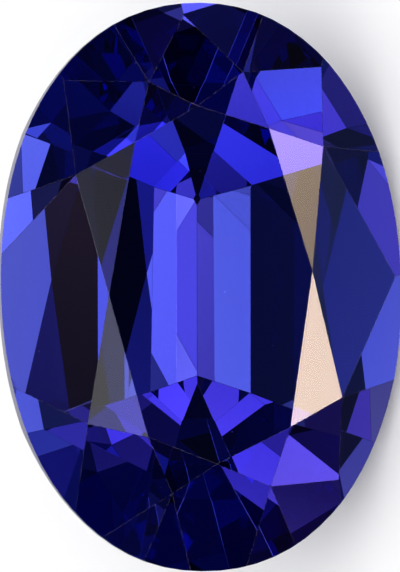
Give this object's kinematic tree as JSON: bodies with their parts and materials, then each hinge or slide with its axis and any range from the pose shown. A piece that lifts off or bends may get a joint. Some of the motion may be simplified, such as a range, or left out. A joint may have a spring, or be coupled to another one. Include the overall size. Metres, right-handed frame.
{
  "type": "oval cut tanzanite",
  "caption": "Loose oval tanzanite with a brilliant-style crown, a deep ground girdle and a stepped pavilion that ends in a keel line, lying on its long side facet",
  "frame": {"origin": "bottom centre of the stone's bounding box, on the plane that it lies on", "axes": "+X runs along the oval's length, -Z is the outward normal of the long pavilion facet that it lies on, and the table faces -Y and +Z"},
  "size_m": [0.0142, 0.0078, 0.0072],
  "materials": {
    "tanzanite": "polished transparent violet-blue gem"
  },
  "bodies": {
    "root": {"stone": "tanzanite"}
  },
  "joints": []
}
